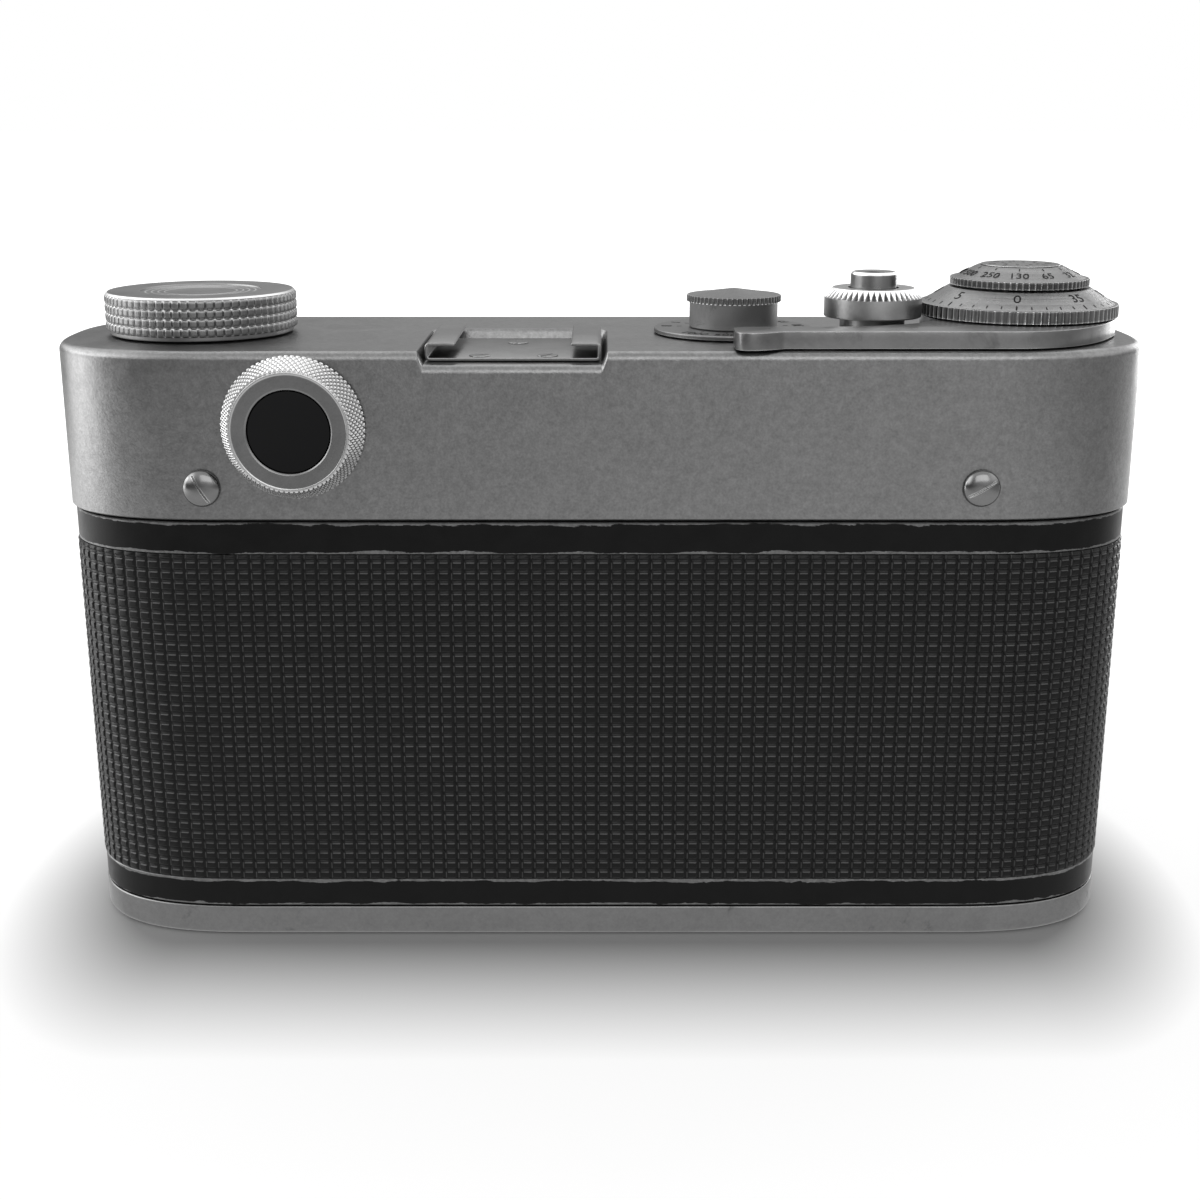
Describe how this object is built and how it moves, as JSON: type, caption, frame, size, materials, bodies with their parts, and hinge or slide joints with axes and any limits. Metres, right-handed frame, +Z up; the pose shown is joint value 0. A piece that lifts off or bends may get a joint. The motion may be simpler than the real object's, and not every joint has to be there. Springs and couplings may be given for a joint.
{
  "type": "35 mm rangefinder camera",
  "caption": "Coupled rangefinder film camera with winding train, focusing lens, turning dials, folding base keys and a removable back.",
  "frame": {"origin": "centre of the underside of the base plate", "axes": "+X towards the film advance, +Y the way the lens looks, +Z up"},
  "size_m": [0.138, 0.0679, 0.086],
  "materials": {
    "satin_chrome": "satin chrome plate, worn",
    "dark_steel": "dull plated steel",
    "bright_steel": "bright steel",
    "black_paint": "black paint",
    "covering": "black embossed covering",
    "casting": "black finished die casting",
    "brass": "brass",
    "glass": "coated glass",
    "mirror": "silvered glass",
    "cloth": "rubberised cloth"
  },
  "bodies": {
    "camera_body": {"body_casting": "casting", "shutter_curtain": "cloth", "top_cover": "satin_chrome", "viewfinder_window": "glass", "rangefinder_window": "glass", "beam_splitter": "mirror", "accessory_shoe": "satin_chrome", "shoe_screw_1": "dark_steel", "shoe_screw_2": "dark_steel", "shoe_screw_3": "dark_steel", "cover_screw_left": "bright_steel", "cover_screw_right": "bright_steel", "eyepiece_tube": "black_paint", "front_shell": "black_paint", "front_covering": "covering", "lens_mount_ring": "bright_steel", "lens_base": "satin_chrome", "sync_socket": "satin_chrome", "release_spring": "dark_steel"},
    "rewind_lift": {"rewind_washer": "dark_steel"},
    "rewind_knob": {"rewind_knob": "satin_chrome", "rewind_shaft": "bright_steel"},
    "dioptre_ring": {"dioptre_ring": "satin_chrome", "eyepiece_lens": "glass"},
    "speed_spindle": {"speed_spindle": "bright_steel"},
    "speed_dial": {"speed_dial": "dark_steel", "speed_disc": "dark_steel"},
    "release_button": {"release_button": "bright_steel"},
    "rewind_collar": {"rewind_collar": "satin_chrome"},
    "advance_lever": {"advance_lever": "dark_steel", "wind_shaft": "bright_steel"},
    "wind_idler": {"wind_idler": "brass"},
    "film_sprocket": {"film_sprocket": "satin_chrome"},
    "shutter_idler": {"shutter_idler": "brass"},
    "curtain_drum": {"curtain_drum": "satin_chrome"},
    "spring_roller": {"spring_roller": "satin_chrome"},
    "take_up_idler": {"take_up_idler": "brass"},
    "take_up_spool": {"take_up_spool": "black_paint"},
    "counter_dial": {"counter_dial": "dark_steel"},
    "reminder_dial": {"reminder_dial": "dark_steel", "reminder_cap": "satin_chrome"},
    "focus_ring": {"focus_ring": "black_paint"},
    "lens_cell": {"lens_cell": "satin_chrome", "front_glass": "glass", "rear_glass": "glass", "retaining_ring": "black_paint"},
    "aperture_ring": {"aperture_ring": "satin_chrome"},
    "rangefinder_arm": {"rangefinder_arm": "brass", "rangefinder_mirror": "mirror"},
    "self_timer_lever": {"self_timer_lever": "satin_chrome"},
    "back": {"back_shell": "black_paint", "back_covering": "covering", "base_plate": "satin_chrome", "tripod_bush": "brass"},
    "pressure_plate": {"pressure_plate": "black_paint", "pressure_spring": "dark_steel"},
    "lock_key_left": {"lock_key_left": "bright_steel"},
    "lock_key_right": {"lock_key_right": "bright_steel"},
    "lock_flap_left": {"lock_flap_left": "bright_steel"},
    "lock_flap_right": {"lock_flap_right": "bright_steel"}
  },
  "joints": [
    {"name": "rewind_pull", "type": "slide", "parent": "camera_body", "child": "rewind_lift", "axis": [0, 0, 1], "range_m": [0, 0.006]},
    {"name": "rewind_turn", "type": "hinge", "parent": "rewind_lift", "child": "rewind_knob", "pos_m": [-0.05167, 0, 0.07715], "axis": [0, 0, 1], "continuous": true},
    {"name": "dioptre_turn", "type": "hinge", "parent": "camera_body", "child": "dioptre_ring", "pos_m": [-0.03717, -0.02, 0.06805], "axis": [0, -1, 0], "range_deg": [-45, 45]},
    {"name": "speed_lift", "type": "slide", "parent": "camera_body", "child": "speed_spindle", "axis": [0, 0, 1], "range_m": [0, 0.0016], "stiffness_N_per_m": 300, "springref_m": -0.001},
    {"name": "speed_turn", "type": "hinge", "parent": "speed_spindle", "child": "speed_dial", "pos_m": [0.01733, 0, 0.07715], "axis": [0, 0, 1], "range_deg": [0, 300]},
    {"name": "release_press", "type": "slide", "parent": "camera_body", "child": "release_button", "axis": [0, 0, -1], "range_m": [0, 0.002], "stiffness_N_per_m": 400, "springref_m": -0.001, "deforming": ["release_spring"]},
    {"name": "rewind_collar_turn", "type": "hinge", "parent": "camera_body", "child": "rewind_collar", "pos_m": [0.03483, -0.0035, 0.07715], "axis": [0, 0, 1], "range_deg": [0, 45]},
    {"name": "advance_swing", "type": "hinge", "parent": "camera_body", "child": "advance_lever", "pos_m": [0.05417, 0, 0.07715], "axis": [0, 0, 1], "range_deg": [0, 160], "stiffness_Nm_per_rad": 0.01, "springref_deg": -17.19},
    {"name": "wind_idler_turn", "type": "hinge", "parent": "camera_body", "child": "wind_idler", "pos_m": [0.04059, 0.00341, 0.068], "axis": [0, 0, 1], "range_deg": [-288.01, 0]},
    {"name": "sprocket_turn", "type": "hinge", "parent": "camera_body", "child": "film_sprocket", "pos_m": [0.03483, -0.0035, 0.04], "axis": [0, 0, 1], "range_deg": [0, 360.01]},
    {"name": "shutter_idler_turn", "type": "hinge", "parent": "camera_body", "child": "shutter_idler", "pos_m": [0.02672, 0.00145, 0.064], "axis": [0, 0, 1], "range_deg": [-261.83, 0]},
    {"name": "drum_turn", "type": "hinge", "parent": "camera_body", "child": "curtain_drum", "pos_m": [0.01733, 0, 0.04], "axis": [0, 0, 1], "range_deg": [0, 360.01]},
    {"name": "roller_turn", "type": "hinge", "parent": "camera_body", "child": "spring_roller", "pos_m": [-0.03317, -0.0034, 0.03], "axis": [0, 0, 1], "range_deg": [0, 797.15]},
    {"name": "take_up_idler_turn", "type": "hinge", "parent": "camera_body", "child": "take_up_idler", "pos_m": [0.04482, -0.00355, 0.06], "axis": [0, 0, 1], "range_deg": [-240.01, 0]},
    {"name": "take_up_turn", "type": "hinge", "parent": "camera_body", "child": "take_up_spool", "pos_m": [0.05417, 0, 0.04], "axis": [0, 0, 1], "range_deg": [0, 360.01]},
    {"name": "counter_turn", "type": "hinge", "parent": "camera_body", "child": "counter_dial", "pos_m": [0.05417, 0, 0.08], "axis": [0, 0, 1], "range_deg": [0, 9.01]},
    {"name": "reminder_turn", "type": "hinge", "parent": "camera_body", "child": "reminder_dial", "pos_m": [0.05417, 0, 0.084], "axis": [0, 0, 1], "continuous": true},
    {"name": "focus_turn", "type": "hinge", "parent": "camera_body", "child": "focus_ring", "pos_m": [-0.01087, 0.025, 0.0301], "axis": [0, 1, 0], "range_deg": [0, 180]},
    {"name": "lens_extend", "type": "slide", "parent": "camera_body", "child": "lens_cell", "axis": [0, 1, 0], "range_m": [0, 0.0027]},
    {"name": "aperture_turn", "type": "hinge", "parent": "lens_cell", "child": "aperture_ring", "pos_m": [-0.01087, 0.033, 0.0301], "axis": [0, 1, 0], "range_deg": [0, 90]},
    {"name": "rangefinder_arm_swing", "type": "hinge", "parent": "camera_body", "child": "rangefinder_arm", "pos_m": [0.00083, 0.008, 0.055], "axis": [0, 0, 1], "range_deg": [-13, 0]},
    {"name": "self_timer_swing", "type": "hinge", "parent": "camera_body", "child": "self_timer_lever", "pos_m": [0.03763, 0.019, 0.0391], "axis": [0, 1, 0], "range_deg": [0, 90]},
    {"name": "back_slide", "type": "slide", "parent": "camera_body", "child": "back", "axis": [0, 0, -1], "range_m": [0, 0.075]},
    {"name": "pressure_plate_slide", "type": "slide", "parent": "back", "child": "pressure_plate", "axis": [0, -1, 0], "range_m": [0, 0.0005], "stiffness_N_per_m": 100, "springref_m": -0.002},
    {"name": "lock_left_turn", "type": "hinge", "parent": "back", "child": "lock_key_left", "pos_m": [-0.05097, 0, 0.001], "axis": [0, 0, 1], "range_deg": [0, 180]},
    {"name": "lock_right_turn", "type": "hinge", "parent": "back", "child": "lock_key_right", "pos_m": [0.05097, 0, 0.001], "axis": [0, 0, 1], "range_deg": [0, 180]},
    {"name": "lock_left_fold", "type": "hinge", "parent": "lock_key_left", "child": "lock_flap_left", "pos_m": [-0.05097, 0, 0.00072], "axis": [-1, 0, 0], "range_deg": [0, 90]},
    {"name": "lock_right_fold", "type": "hinge", "parent": "lock_key_right", "child": "lock_flap_right", "pos_m": [0.05097, 0, 0.00072], "axis": [-1, 0, 0], "range_deg": [0, 90]}
  ],
  "couplings": [
    {"joint": "wind_idler_turn", "follows": "advance_swing", "ratio": -1.8},
    {"joint": "sprocket_turn", "follows": "advance_swing", "ratio": 2.25},
    {"joint": "shutter_idler_turn", "follows": "advance_swing", "ratio": -1.6364},
    {"joint": "drum_turn", "follows": "advance_swing", "ratio": 2.25},
    {"joint": "roller_turn", "follows": "advance_swing", "ratio": 4.9821},
    {"joint": "take_up_idler_turn", "follows": "advance_swing", "ratio": -1.5},
    {"joint": "take_up_turn", "follows": "advance_swing", "ratio": 2.25},
    {"joint": "counter_turn", "follows": "advance_swing", "ratio": 0.05625},
    {"joint": "lens_extend", "follows": "focus_turn", "m_per_rad": 0.000859},
    {"joint": "rangefinder_arm_swing", "follows": "focus_turn", "ratio": -0.07}
  ]
}
